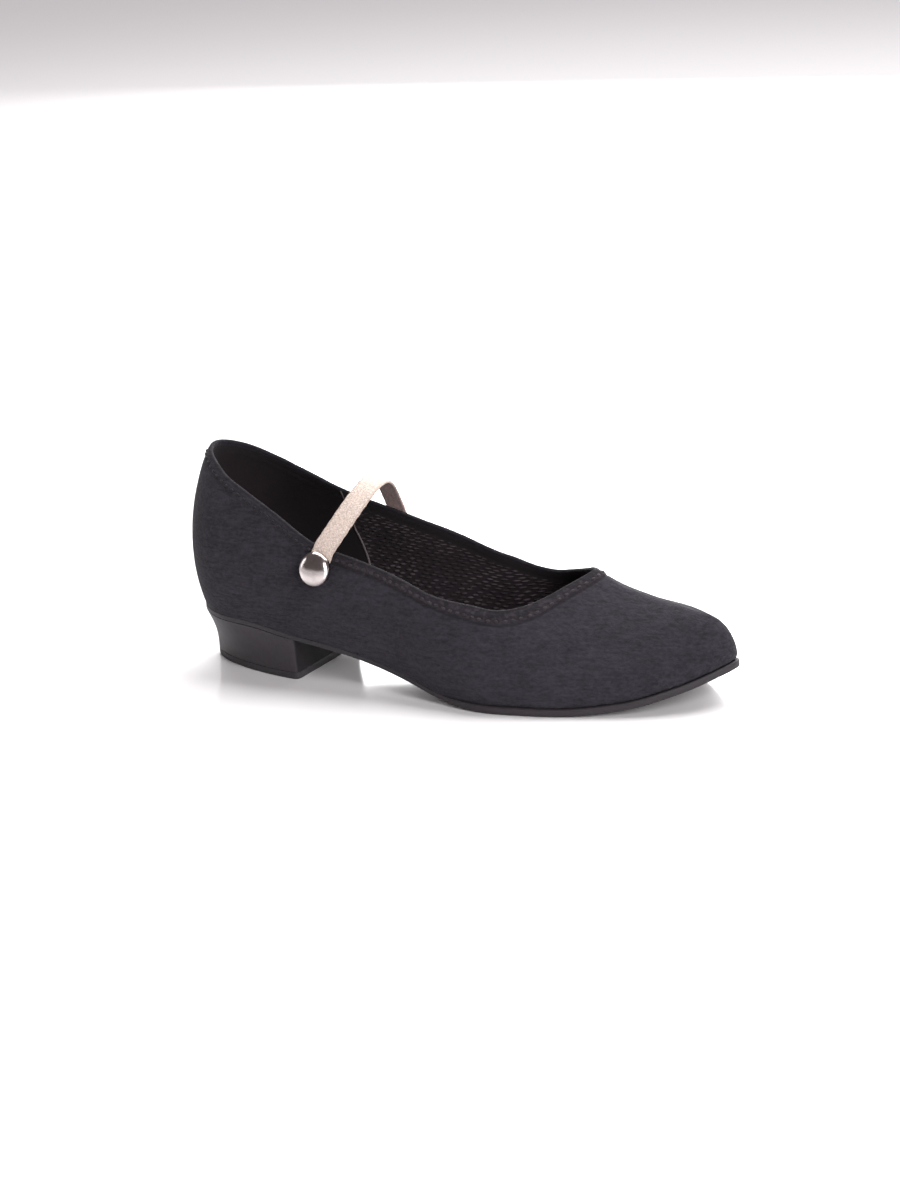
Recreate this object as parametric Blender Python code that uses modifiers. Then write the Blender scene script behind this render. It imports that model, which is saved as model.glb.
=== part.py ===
"""Low-heeled character shoe for the right foot: canvas upper, elastic strap, dome snap, block heel.

Metres, +Z up, +X toward the toe, -Y the outer side of the foot. The shoe stands on the plane Z = 0,
with the origin at the middle of the heel's foot.
"""
import math

import bmesh
import bpy
import numpy as np
from mathutils import Matrix, Vector

# Driving sizes
LENGTH = 0.240  # feather line, back of the heel to the tip of the toe
BALL_WIDTH = 0.084  # over the ball of the foot, at the feather line
SEAT_RISE = 0.0234  # heel seat above the ball
INSTEP = 0.070  # crown of the last above its feather line
UPPER_WALL = 0.0018  # canvas and lining together
EDGE_BAND = 0.0055  # folded and stitched band along the topline
EDGE_RISE = 0.0003  # how far the band stands proud
FORE_SOLE = 0.0032  # outsole under the ball
WAIST_SOLE = 0.0020  # outsole at the waist and under the heel seat
SOLE_LIP = 0.0011  # outsole beyond the upper, round the forepart
INSOLE = 0.0020
TOP_PIECE = 0.0030  # rubber under the heel block
HEEL_HALF = 0.0265  # half width of the heel's foot
HEEL_OVAL = 0.060  # half axis of the oval that rounds the heel's foot
HEEL_BACK = -0.0005  # heel's foot, from the back of the feather line
HEEL_BREAST = 0.0540  # front face of the heel at the floor
BREAST_LEAN = 0.0017  # how far the front face leans forward at its top
HEEL_WAIST = 0.0004  # hollow of the heel block's sides
STRAP_WIDTH = 0.0095
STRAP_THICK = 0.0012
STRAP_ARCH_OUT = 0.038  # rise of the strap's curve off the outer topline
STRAP_ARCH_IN = 0.020
STRAP_FORWARD = 0.0225  # forward swing of the strap's curve off the outer topline
STRAP_FORWARD_IN = -0.002
STRAP_SEWN = 0.012  # strap sewn down below the inner topline
SNAP_RADIUS = 0.0072
SNAP_HEIGHT = 0.0046
SNAP_DROP = 0.0093  # middle of the snap below the topline
SNAP_COVER = 0.0045  # strap beyond the middle of the snap
GAP = 0.0003  # between touching pieces
OUTER, INNER = -1, 1

# Shares of the length where the form changes
THROAT = 0.7515
THROAT_REACH = 0.140
THROAT_POWER = 2.04
HEEL_POWER = 1.55  # below 2 the heel's oval is drawn finer at the back
HEEL_CAP = 0.112
TOE_CAP = 0.135
HEEL_FAN, HEEL_LEAN = 0.22, 0.064
TOE_FAN, TOE_LEAN = 0.80, 0.048
WAIST_END, BALL_START = 0.50, 0.64
STRAP_OUTER, STRAP_INNER, SNAP_AT = 0.305, 0.331, 0.294

# Share of length; half widths on the outer and the inner side, as shares of the ball width
OUTLINE = (
    (0.00, 0.327, 0.330),
    (0.12, 0.336, 0.330),
    (0.25, 0.354, 0.305),
    (0.40, 0.383, 0.265),
    (0.52, 0.453, 0.300),
    (0.62, 0.494, 0.400),
    (0.70, 0.473, 0.470),
    (0.78, 0.422, 0.465),
    (0.86, 0.343, 0.400),
    (0.93, 0.262, 0.300),
    (1.00, 0.195, 0.150),
)
# Share of length; height of the outsole's underside, as a share of the seat's rise
SEAT = (
    (0.00, 1.08),
    (0.12, 0.99),
    (0.22, 0.81),
    (0.34, 0.62),
    (0.46, 0.33),
    (0.56, 0.06),
    (0.64, 0.00),
    (0.74, 0.00),
    (0.84, 0.09),
    (0.93, 0.32),
    (1.00, 0.60),
)
# Share of length; crown of the last above the feather line, as a share of the instep
CROWN = (
    (0.00, 1.11),
    (0.15, 1.00),
    (0.30, 0.96),
    (0.42, 0.955),
    (0.54, 0.90),
    (0.64, 0.787),
    (0.72, 0.715),
    (0.76, 0.649),
    (0.80, 0.568),
    (0.85, 0.492),
    (0.91, 0.400),
    (1.00, 0.225),
)
# Share of length; flare at the feather line in degrees, fullness low and fullness at the crown
SECTION = (
    (0.00, 17.5, 0.50, 0.60),
    (0.15, 15.5, 0.50, 0.60),
    (0.35, 17.0, 0.45, 0.55),
    (0.60, 21.0, 0.45, 0.52),
    (0.76, 21.0, 0.36, 0.17),
    (0.84, 21.0, 0.38, 0.25),
    (1.00, 18.0, 0.27, 0.72),
)
# Share of length; topline on the outer and the inner side, as shares of the way to the crown
TOPLINE = (
    (0.00, 0.715, 0.715),
    (0.05, 0.670, 0.677),
    (0.10, 0.611, 0.621),
    (0.20, 0.527, 0.556),
    (0.30, 0.446, 0.532),
    (0.40, 0.441, 0.517),
    (0.50, 0.447, 0.511),
    (0.55, 0.465, 0.511),
    (0.60, 0.489, 0.489),
    (0.68, 0.508, 0.532),
    (0.76, 0.550, 0.575),
    (1.00, 0.590, 0.615),
)


# Form of the last

def read_row(table, share, column):
    """A curve through the rows that never swings past a row's own value."""
    rows = np.array(table, float)
    x, y = rows[:, 0], rows[:, column]
    step = np.diff(x)
    grade = np.diff(y) / step
    slope = np.zeros(len(x))
    slope[0], slope[-1] = grade[0], grade[-1]
    same = grade[:-1] * grade[1:] > 0
    total = np.where(same, grade[:-1] + grade[1:], 1.0)
    slope[1:-1] = np.where(same, 2 * grade[:-1] * grade[1:] / total, 0.0)
    at = np.clip(share, x[0], x[-1])
    k = np.clip(np.searchsorted(x, at) - 1, 0, len(x) - 2)
    t = (at - x[k]) / step[k]
    low = (2 * t**3 - 3 * t**2 + 1) * y[k] + (t**3 - 2 * t**2 + t) * step[k] * slope[k]
    high = (3 * t**2 - 2 * t**3) * y[k + 1] + (t**3 - t**2) * step[k] * slope[k + 1]
    return low + high


def ease(value):
    t = np.clip(value, 0.0, 1.0)
    return t * t * (3 - 2 * t)


def round_end(distance):
    """Quarter circle from 0 at the tip to 1 a full distance in."""
    return np.sqrt(np.clip(1 - (1 - np.clip(distance, 0, 1)) ** 2, 0, 1))


def half_width(share, side):
    body = read_row(OUTLINE, share, 1 if side == OUTER else 2) * BALL_WIDTH
    return body * round_end(share / HEEL_CAP) * round_end((1 - share) / TOE_CAP)


def sole_thickness(share):
    blend = ease((share - WAIST_END) / (BALL_START - WAIST_END))
    return WAIST_SOLE + (FORE_SOLE - WAIST_SOLE) * blend


def underside(share):
    return read_row(SEAT, share, 1) * SEAT_RISE


def seat_height(share):
    return underside(share) + sole_thickness(share)


def feather(share, side):
    """Points of the feather line, where the upper meets the sole."""
    return np.stack([share * LENGTH, side * half_width(share, side), seat_height(share)], -1)


def outward(share, side):
    """Level direction square to the feather line."""
    step = 1e-4
    along = feather(np.clip(share + step, 0, 1), side) - feather(np.clip(share - step, 0, 1), side)
    normal = np.stack([-along[:, 1], along[:, 0]], -1) * side
    normal = normal / np.linalg.norm(normal, axis=1)[:, None]
    normal[share <= 0] = (-1, 0)
    normal[share >= 1] = (1, 0)
    return normal


def crown_height(share):
    return seat_height(share) + read_row(CROWN, share, 1) * INSTEP


def crown_share(share):
    """Where a section that stands at this share of the feather line meets the crown."""
    toe = np.clip((share - TOE_FAN) / (1 - TOE_FAN), 0, 1)
    heel = np.clip((HEEL_FAN - share) / HEEL_FAN, 0, 1)
    return share - TOE_LEAN * toe**2 + HEEL_LEAN * heel**2


def section_points(share, side, way):
    """Outer face of the upper: way is 0 at the feather line and 1 at the crown."""
    foot = feather(share, side)
    top_at = crown_share(share)
    top = np.stack([top_at * LENGTH, 0 * top_at, crown_height(top_at)], -1)
    step = 1e-3
    slope = (crown_height(top_at + step) - crown_height(top_at - step)) / (2 * step * LENGTH)
    span = foot[:, :2] - top[:, :2]
    reach = np.linalg.norm(span, axis=1)
    span = span / reach[:, None]
    across = np.stack([span[:, 0], span[:, 1], span[:, 0] * slope], -1)
    flare = np.radians(read_row(SECTION, share, 1))
    normal = outward(share, side)
    rising = np.stack([normal[:, 0] * np.sin(flare), normal[:, 1] * np.sin(flare), np.cos(flare)], -1)
    low_pull = read_row(SECTION, share, 2) * (top[:, 2] - foot[:, 2])
    crown_pull = read_row(SECTION, share, 3) * reach
    low = (foot + rising * low_pull[:, None])[:, None]
    high = (top + across * crown_pull[:, None])[:, None]
    u = way[..., None]
    points = (1 - u) ** 3 * foot[:, None] + 3 * (1 - u) ** 2 * u * low
    points = points + 3 * (1 - u) * u**2 * high + u**3 * top[:, None]
    points[..., 2] += GAP
    return points


def topline_way(share, side):
    """How far up each section the topline runs; it closes in an oval at the throat."""
    low = read_row(TOPLINE, share, 1 if side == OUTER else 2)
    run = np.clip((share - THROAT + THROAT_REACH) / THROAT_REACH, 0, 1)
    oval = np.clip(1 - run**THROAT_POWER, 0, 1) ** (1 / THROAT_POWER)
    return np.where(share < THROAT, 1 - (1 - low) * oval, 1.0)


def spread_shares(start, end, count):
    """Shares between two ends, evenly spaced along the feather line and the topline together."""
    fine = start + (end - start) * (1 - np.cos(np.linspace(0, math.pi, 1200))) / 2
    run = 0
    for side in (OUTER, INNER):
        edge = section_points(fine, side, topline_way(fine, side)[:, None])[:, 0]
        foot = feather(fine, side)
        run = run + np.linalg.norm(np.diff(foot, axis=0), axis=1)
        run = run + np.linalg.norm(np.diff(edge, axis=0), axis=1)
    travelled = np.concatenate([[0], np.cumsum(run)])
    return np.interp(np.linspace(0, travelled[-1], count + 1), travelled, fine)


# Helpers

def add_object(name, mesh_or_curve, material, shoe):
    thing = bpy.data.objects.new(name, mesh_or_curve)
    thing.data.materials.append(material)
    thing.parent = shoe
    bpy.data.collections["character_shoe"].objects.link(thing)
    return thing


def finish_mesh(name, bm, closed=True):
    bmesh.ops.remove_doubles(bm, verts=bm.verts, dist=1e-6)
    if closed:
        bmesh.ops.recalc_face_normals(bm, faces=bm.faces)
    mesh = bpy.data.meshes.new(name)
    bm.to_mesh(mesh)
    bm.free()
    return mesh


def new_material(name, colour, roughness, metallic=0.0):
    material = bpy.data.materials.new(name)
    material.use_nodes = True
    shader = material.node_tree.nodes["Principled BSDF"]
    shader.inputs["Base Color"].default_value = (*colour, 1.0)
    shader.inputs["Roughness"].default_value = roughness
    shader.inputs["Metallic"].default_value = metallic
    return material


def plate_mesh(name, rings):
    """Closed plate. Each ring is an array of stations with one outer and one inner point each."""
    bm = bmesh.new()
    grid = [[[bm.verts.new(point) for point in station] for station in ring] for ring in rings]

    def quad(corners):
        if len({tuple(round(c, 7) for c in v.co) for v in corners}) > 2:
            bm.faces.new(corners)

    count = len(rings[0])
    for ring in (grid[0], grid[-1]):
        for i in range(count - 1):
            quad([ring[i][0], ring[i + 1][0], ring[i + 1][1], ring[i][1]])
    for low, high in zip(grid, grid[1:]):
        for i in range(count - 1):
            for s in (0, 1):
                quad([low[i][s], low[i + 1][s], high[i + 1][s], high[i][s]])
        for i in (0, count - 1):
            quad([low[i][0], low[i][1], high[i][1], high[i][0]])
    return finish_mesh(name, bm)


def outline_stations(share, grow, height):
    """Stations of the last's outline, moved out by grow, at the given heights."""
    points = []
    for side in (OUTER, INNER):
        edge = feather(share, side)
        edge[:, :2] += outward(share, side) * np.reshape(grow, (-1, 1))
        edge[:, 2] = height
        points.append(edge)
    both = np.stack(points, 1)
    both[share <= 0] = both[share <= 0].mean(axis=1, keepdims=True)
    both[share >= 1] = both[share >= 1].mean(axis=1, keepdims=True)
    return both


# Pieces

def build_upper(material, shoe):
    """One hollow shell: outer face lofted section by section, then thickened inward."""
    collar = spread_shares(0.0, THROAT - 1e-9, 44)
    vamp = spread_shares(THROAT, 1.0, 22)
    share = np.concatenate([collar[:-1], vamp])
    rows = np.array([0, .10, .20, .31, .42, .53, .64, .75, .84, .91, .96, 1.0])
    faces = {}
    for side in (OUTER, INNER):
        way = topline_way(share, side)
        way[len(collar) - 1:] = 1.0
        faces[side] = section_points(share, side, rows[None] * way[:, None])
    edge = np.concatenate([faces[side][:len(collar), -1] for side in (OUTER, INNER)])
    bm = bmesh.new()
    for side in (OUTER, INNER):
        points = faces[side]
        away = np.linalg.norm(points[:, :, None] - edge[None, None], axis=-1).min(axis=-1)
        along = np.gradient(points, axis=0)
        up = np.gradient(points, axis=1)
        normal = np.cross(along, up) * -side
        normal = normal / np.maximum(np.linalg.norm(normal, axis=-1, keepdims=True), 1e-12)
        proud = EDGE_RISE * ease(1.5 * (1 - away / EDGE_BAND))
        on_crown = np.abs(points[..., 1]) < 1e-7
        normal[on_crown] = (0, 0, 1)
        points = points + normal * proud[..., None]
        grid = [[bm.verts.new(point) for point in column] for column in points]
        for low, high in zip(grid, grid[1:]):
            for a, b, c, d in zip(low, high, high[1:], low[1:]):
                corners = [a, b, c, d] if side == OUTER else [a, d, c, b]
                bm.faces.new(corners)
    bmesh.ops.remove_doubles(bm, verts=bm.verts, dist=1e-5)
    upper = add_object("upper", finish_mesh("upper", bm, closed=False), material, shoe)
    wall = upper.modifiers.new("wall", "SOLIDIFY")
    wall.thickness = UPPER_WALL
    wall.offset = -1
    wall.use_even_offset = True
    wall.use_quality_normals = True
    return upper


def sole_shares():
    ends = (1 - np.cos(np.linspace(0, math.pi, 53))) / 2
    return np.unique(np.concatenate([ends, [row[0] for row in SEAT[5:9]]]))


def build_outsole(material, shoe):
    share = sole_shares()
    lip = SOLE_LIP * ease((share - WAIST_END) / (BALL_START - WAIST_END))
    low = outline_stations(share, lip, underside(share))
    high = outline_stations(share, lip, seat_height(share))
    return add_object("outsole", plate_mesh("outsole", [low, high]), material, shoe)


def build_insole(material, shoe):
    share = sole_shares()
    inset = -(UPPER_WALL / math.cos(math.radians(SECTION[3][1])) + 2 * GAP)
    low = outline_stations(share, inset, seat_height(share) + GAP)
    high = outline_stations(share, inset, seat_height(share) + GAP + INSOLE)
    return add_object("insole", plate_mesh("insole", [low, high]), material, shoe)


def heel_foot(height, inset=0.0):
    """Outline of the heel at the floor: an oval cut square at the breast."""
    run = 1 - np.cos(np.linspace(0, math.pi / 2, 19))
    x = HEEL_BACK + inset + (HEEL_BREAST - inset - HEEL_BACK - inset) * run
    ahead = 1 - np.clip((x - HEEL_BACK - inset) / HEEL_OVAL, 0, 1)
    y = (HEEL_HALF - inset) * (1 - ahead**HEEL_POWER) ** (1 / HEEL_POWER)
    z = np.full_like(x, height)
    return np.stack([np.stack([x, side * y, z], -1) for side in (OUTER, INNER)], 1)


def heel_seat():
    """Outline of the heel against the sole."""
    run = 1 - np.cos(np.linspace(0, math.pi / 2, 19))
    x = (HEEL_BREAST + BREAST_LEAN) * run
    share = x / LENGTH
    z = underside(share) - GAP
    return np.stack([np.stack([x, side * half_width(share, side), z], -1) for side in (OUTER, INNER)], 1)


def build_heel(block_material, rubber_material, shoe):
    piece = plate_mesh("heel_top_piece", [heel_foot(0.0, GAP), heel_foot(TOP_PIECE)])
    add_object("heel_top_piece", piece, rubber_material, shoe)
    low, high = heel_foot(TOP_PIECE + GAP), heel_seat()
    rings = [low]
    for t in (0.3, 0.65):
        ring = low + (high - low) * t
        hollow = HEEL_WAIST * math.sin(math.pi * t)
        ring[:, :, 1] *= 1 - hollow / HEEL_HALF
        rings.append(ring)
    rings.append(high)
    return add_object("heel_block", plate_mesh("heel_block", rings), block_material, shoe)


def wall_point(share, side, drop):
    """Point on the upper's outer face, drop below the topline, with its up and outward directions."""
    at = np.array([share])
    top = topline_way(at, side)[0]
    way = np.linspace(0, top, 400)
    line = section_points(at, side, way[None])[0]
    below = np.concatenate([[0], np.cumsum(np.linalg.norm(np.diff(line[::-1], axis=0), axis=1))])[::-1]
    place = np.array([np.interp(-drop, -below, line[:, k]) for k in range(3)])
    under = np.array([np.interp(-drop - 0.001, -below, line[:, k]) for k in range(3)])
    at_way = np.interp(-drop, -below, way)
    ahead = section_points(at + 1e-3, side, np.array([[at_way]]))[0, 0]
    up = (place - under) / np.linalg.norm(place - under)
    along = (ahead - place) / np.linalg.norm(ahead - place)
    out = np.cross(along, up) * -side
    return place, up, out / np.linalg.norm(out)


def strap_route():
    """Middle line of the strap and its outward direction, from the snap over to the sewn end."""
    lift = EDGE_RISE + GAP + STRAP_THICK / 2
    points, outs = [], []
    for drop in np.linspace(SNAP_DROP + SNAP_COVER, 0, 6):
        share = STRAP_OUTER + (SNAP_AT - STRAP_OUTER) * drop / SNAP_DROP
        place, up, out = wall_point(share, OUTER, drop)
        points.append(place + out * lift)
        outs.append(out)
    start, start_up = points[-1], up
    inner_points, inner_outs = [], []
    for drop in np.linspace(0, STRAP_SEWN, 5):
        place, up_in, out = wall_point(STRAP_INNER, INNER, drop)
        if drop == 0:
            end_up = up_in
        inner_points.append(place + out * lift)
        inner_outs.append(out)
    end = inner_points[0]
    swing = np.array([STRAP_FORWARD, 0, 0])
    first = start + start_up * STRAP_ARCH_OUT + swing
    second = end + end_up * STRAP_ARCH_IN + np.array([STRAP_FORWARD_IN, 0, 0])
    for t in np.linspace(0, 1, 26)[1:-1]:
        place = (1 - t)**3 * start + 3 * (1 - t)**2 * t * first + 3 * (1 - t) * t**2 * second + t**3 * end
        points.append(place)
        outs.append(None)
    points += inner_points
    outs += inner_outs
    return np.array(points), outs


def build_strap(material, shoe):
    """Flat elastic swept along its route; on the upper it lies on the canvas, above it it arches free."""
    points, outs = strap_route()
    along = np.gradient(points, axis=0)
    along = along / np.linalg.norm(along, axis=1)[:, None]
    width = [None if out is None else np.cross(out, way) for out, way in zip(outs, along)]
    known = [i for i, w in enumerate(width) if w is not None]
    first = max(i for i in known if i < len(width) / 2)
    last = min(i for i in known if i > len(width) / 2)
    for i in range(first + 1, last):
        t = ease((i - first) / (last - first))
        width[i] = width[first] * (1 - t) + width[last] * t
    bm = bmesh.new()
    rings = []
    for place, way, wide in zip(points, along, width):
        wide = wide - way * np.dot(wide, way)
        wide = wide / np.linalg.norm(wide)
        out = np.cross(way, wide)
        half, thick = wide * STRAP_WIDTH / 2, out * STRAP_THICK / 2
        corners = [place - half - thick, place + half - thick, place + half + thick, place - half + thick]
        rings.append([bm.verts.new(corner) for corner in corners])
    for low, high in zip(rings, rings[1:]):
        for k in range(4):
            bm.faces.new([low[k], low[(k + 1) % 4], high[(k + 1) % 4], high[k]])
    bm.faces.new(rings[0])
    bm.faces.new(rings[-1])
    return add_object("strap", finish_mesh("strap", bm), material, shoe)


def build_snap(material, shoe):
    """Domed cap of the snap, turned from its profile and laid flat on the strap."""
    place, up, out = wall_point(SNAP_AT, OUTER, SNAP_DROP)
    base = place + out * (EDGE_RISE + STRAP_THICK + 2 * GAP)
    rim = 0.18 * SNAP_HEIGHT
    profile = [(0.0, SNAP_HEIGHT)]
    for k in range(1, 7):
        angle = math.radians(15 * k)
        profile.append((SNAP_RADIUS * math.sin(angle), rim + (SNAP_HEIGHT - rim) * math.cos(angle)))
    profile += [(SNAP_RADIUS, 0.25 * rim), (0.96 * SNAP_RADIUS, 0.0), (0.0, 0.0)]
    bm = bmesh.new()
    verts = [bm.verts.new((radius, 0, height)) for radius, height in profile]
    for a, b in zip(verts, verts[1:]):
        bm.edges.new((a, b))
    mesh = bpy.data.meshes.new("snap_cap")
    bm.to_mesh(mesh)
    bm.free()
    cap = add_object("snap_cap", mesh, material, shoe)
    turn = cap.modifiers.new("turn", "SCREW")
    turn.steps = 36
    turn.render_steps = 36
    turn.use_merge_vertices = True
    turn.merge_threshold = 0.00001
    side_way = np.cross(up, out)
    axes = Matrix((side_way, up, out)).transposed().to_4x4()
    cap.matrix_basis = Matrix.Translation(Vector(base)) @ axes
    return cap


def main():
    for thing in list(bpy.data.objects):
        bpy.data.objects.remove(thing, do_unlink=True)
    collection = bpy.data.collections.new("character_shoe")
    bpy.context.scene.collection.children.link(collection)
    shoe = bpy.data.objects.new("shoe_origin", None)
    shoe.location = (-(HEEL_BACK + HEEL_BREAST) / 2, 0, 0)
    collection.objects.link(shoe)
    canvas = new_material("black canvas", (0.040, 0.038, 0.044), 0.90)
    lining = new_material("black lining", (0.018, 0.016, 0.018), 0.85)
    resin = new_material("dark brown sole", (0.030, 0.024, 0.022), 0.55)
    heel = new_material("black heel", (0.035, 0.034, 0.035), 0.38)
    rubber = new_material("black rubber", (0.025, 0.025, 0.026), 0.70)
    elastic = new_material("cream elastic", (0.80, 0.70, 0.62), 0.85)
    nickel = new_material("polished nickel", (0.62, 0.58, 0.54), 0.16, 1.0)
    build_outsole(resin, shoe)
    build_heel(heel, rubber, shoe)
    build_upper(canvas, shoe)
    build_insole(lining, shoe)
    build_strap(elastic, shoe)
    build_snap(nickel, shoe)


main()
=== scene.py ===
"""Low-heeled canvas character shoe for the right foot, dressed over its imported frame.

Metres, +Z up, +X toward the toe, -Y the outer side of the foot.
"""
import math
import random

import bmesh
import bpy
import numpy as np
from mathutils import Matrix, Vector


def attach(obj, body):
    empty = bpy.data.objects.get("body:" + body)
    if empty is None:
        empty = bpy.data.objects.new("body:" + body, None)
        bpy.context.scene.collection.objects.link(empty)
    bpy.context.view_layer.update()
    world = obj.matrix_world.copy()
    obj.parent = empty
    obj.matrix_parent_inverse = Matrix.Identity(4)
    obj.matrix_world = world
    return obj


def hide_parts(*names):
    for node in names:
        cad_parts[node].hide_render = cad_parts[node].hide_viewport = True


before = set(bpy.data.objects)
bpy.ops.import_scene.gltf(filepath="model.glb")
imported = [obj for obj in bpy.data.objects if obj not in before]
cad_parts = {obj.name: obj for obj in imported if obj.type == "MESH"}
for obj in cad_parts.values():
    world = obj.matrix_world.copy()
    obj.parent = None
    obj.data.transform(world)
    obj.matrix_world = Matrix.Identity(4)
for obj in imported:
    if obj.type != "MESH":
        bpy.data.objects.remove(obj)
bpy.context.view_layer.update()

# Sizes of the last and of the pieces
LENGTH = 0.240
BALL_WIDTH = 0.084
SEAT_RISE = 0.0234
INSTEP = 0.070
WALL = 0.0018
FORE_SOLE = 0.0032
WAIST_SOLE = 0.0020
SOLE_LIP = 0.0011
INSOLE = 0.0020
TOP_PIECE = 0.0030
HEEL_HALF = 0.0265
HEEL_OVAL = 0.060
HEEL_BACK = -0.0005
HEEL_BREAST = 0.0540
BREAST_LEAN = 0.0017
HEEL_WAIST = 0.0004
HEEL_ROUND = 0.0002  # rounding of the block's lower edge
STRAP_WIDTH = 0.0095
STRAP_THICK = 0.0012
STRAP_ARCH_OUT = 0.038
STRAP_ARCH_IN = 0.020
STRAP_FORWARD = 0.0225
STRAP_FORWARD_IN = -0.002
STRAP_SEWN = 0.012
SNAP_RADIUS = 0.0072
SNAP_HEIGHT = 0.0046
SNAP_DROP = 0.0093
SNAP_COVER = 0.0045
EDGE_RISE = 0.0003
GAP = 0.0003
OUTER, INNER = -1, 1
SHIFT = (HEEL_BACK + HEEL_BREAST) / 2  # origin under the middle of the heel
CHUNK = 4000  # points measured at a time

# Stitching and folded band along the topline
STITCH_PITCH = 0.0034
STITCH_LONG = 0.0022
STITCH_THICK = 0.00066
STITCH_SUNK = 0.00022
STRAP_STITCH = (0.0021, 0.0016, 0.00022, 0.00002)  # pitch, length, thickness and depth sunk
BAND_BEYOND = 0.0016  # width of the band below its stitches
BAND_LIFT = 0.00028
CHANNEL = 0.00024  # depth of the sewn channel
CHANNEL_HALF = 0.00065
FOLD = 0.00022  # depth of the groove under the band
PUCKER = 0.60
CREASE_DEEP = 0.00080
CREASE_HALF = 0.0048
SOLE_TUCK = 0.00006  # canvas drawn in at the sole, at the heel
FORE_TUCK = 0.00025  # and more round the forepart
WEAVE = 0.00080

# Front edge of the rear lining: foremost place, height of its foot, and height of its bend above that
FRONT_AT = 0.0617
FRONT_FOOT = 0.0354
FRONT_BEND = 0.0158
FRONT_LEAN, FRONT_CURVE, FRONT_TOP_LEAN = 0.2, 8.5, 0.12

# Camera: turn, rise and roll in degrees, then metres, millimetres and shares of the picture
CAMERA_TURN = (29.1428, 16.6652, -4.1301)
CAMERA_AIM = (0.09325, 0, 0.03)
CAMERA_FAR = 1.3
CAMERA_LENS = 95.4765
CAMERA_SHIFT = (-0.0114, 0.00434)

# Shares of the length where the form changes
THROAT = 0.7515
THROAT_REACH = 0.140
THROAT_POWER = 2.04
HEEL_POWER = 1.55
HEEL_CAP = 0.112
TOE_CAP = 0.135
HEEL_FAN, HEEL_LEAN = 0.22, 0.064
TOE_FAN, TOE_LEAN = 0.80, 0.048
WAIST_END, BALL_START = 0.50, 0.64
STRAP_OUTER, STRAP_INNER, SNAP_AT = 0.305, 0.331, 0.294

# Share of length; half widths on the outer and the inner side, as shares of the ball width
OUTLINE = (
    (0.00, 0.327, 0.330), (0.12, 0.336, 0.330), (0.25, 0.354, 0.305), (0.40, 0.383, 0.265),
    (0.52, 0.453, 0.300), (0.62, 0.494, 0.400), (0.70, 0.473, 0.470), (0.78, 0.422, 0.465),
    (0.86, 0.343, 0.400), (0.93, 0.262, 0.300), (1.00, 0.195, 0.150),
)
# Share of length; height of the outsole's underside, as a share of the seat's rise
SEAT = (
    (0.00, 1.08), (0.12, 0.99), (0.22, 0.81), (0.34, 0.62), (0.46, 0.33), (0.56, 0.06),
    (0.64, 0.00), (0.74, 0.00), (0.84, 0.09), (0.93, 0.32), (1.00, 0.60),
)
# Share of length; crown above the feather line, as a share of the instep
CROWN = (
    (0.00, 1.11), (0.15, 1.00), (0.30, 0.96), (0.42, 0.955), (0.54, 0.90), (0.64, 0.787),
    (0.72, 0.715), (0.76, 0.649), (0.80, 0.568), (0.85, 0.492), (0.91, 0.400), (1.00, 0.225),
)
# Share of length; flare in degrees; pulls of the section's curve at the feather line and the crown
SECTION = (
    (0.00, 17.5, 0.50, 0.60), (0.15, 15.5, 0.50, 0.60), (0.35, 17.0, 0.45, 0.55),
    (0.60, 21.0, 0.45, 0.52), (0.76, 21.0, 0.36, 0.17), (0.84, 21.0, 0.38, 0.25),
    (1.00, 18.0, 0.27, 0.72),
)
# Share of length; way up the section where the outer and the inner topline run
TOPLINE = (
    (0.00, 0.715, 0.715), (0.05, 0.670, 0.677), (0.10, 0.611, 0.621), (0.20, 0.527, 0.556),
    (0.30, 0.446, 0.532), (0.40, 0.441, 0.517), (0.50, 0.447, 0.511), (0.55, 0.465, 0.511),
    (0.60, 0.489, 0.489), (0.68, 0.508, 0.532), (0.76, 0.550, 0.575), (1.00, 0.590, 0.615),
)
# Share of length; stitch row below the topline, in metres
STITCH_ROW = (
    (0.00, 0.0034), (0.30, 0.0032), (0.50, 0.0029), (0.53, 0.0034), (0.56, 0.0041), (0.60, 0.0049),
    (0.66, 0.0051), (0.69, 0.0049), (0.717, 0.0041), (0.74, 0.0037), (1.00, 0.0037),
)

# Places along the soft crease over the outer side of the ball
CREASE = (
    (0.1206, -0.0428, 0.0082), (0.1278, -0.0427, 0.0118), (0.1407, -0.0384, 0.0192),
    (0.1531, -0.0322, 0.0224), (0.1629, -0.0260, 0.0256), (0.1770, -0.0192, 0.0283),
)


# Form of the last

def read_row(table, share, column=1):
    rows = np.array(table, float)
    x, y = rows[:, 0], rows[:, column]
    step = np.diff(x)
    grade = np.diff(y) / step
    slope = np.zeros(len(x))
    slope[0], slope[-1] = grade[0], grade[-1]
    same = grade[:-1] * grade[1:] > 0
    total = np.where(same, grade[:-1] + grade[1:], 1.0)
    slope[1:-1] = np.where(same, 2 * grade[:-1] * grade[1:] / total, 0.0)
    at = np.clip(share, x[0], x[-1])
    k = np.clip(np.searchsorted(x, at) - 1, 0, len(x) - 2)
    t = (at - x[k]) / step[k]
    low = (2 * t**3 - 3 * t**2 + 1) * y[k] + (t**3 - 2 * t**2 + t) * step[k] * slope[k]
    return low + (3 * t**2 - 2 * t**3) * y[k + 1] + (t**3 - t**2) * step[k] * slope[k + 1]


def ease(value):
    t = np.clip(value, 0.0, 1.0)
    return t * t * (3 - 2 * t)


def round_end(distance):
    return np.sqrt(np.clip(1 - (1 - np.clip(distance, 0, 1)) ** 2, 0, 1))


def unit(vectors):
    return vectors / np.maximum(np.linalg.norm(vectors, axis=-1, keepdims=True), 1e-12)


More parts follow.
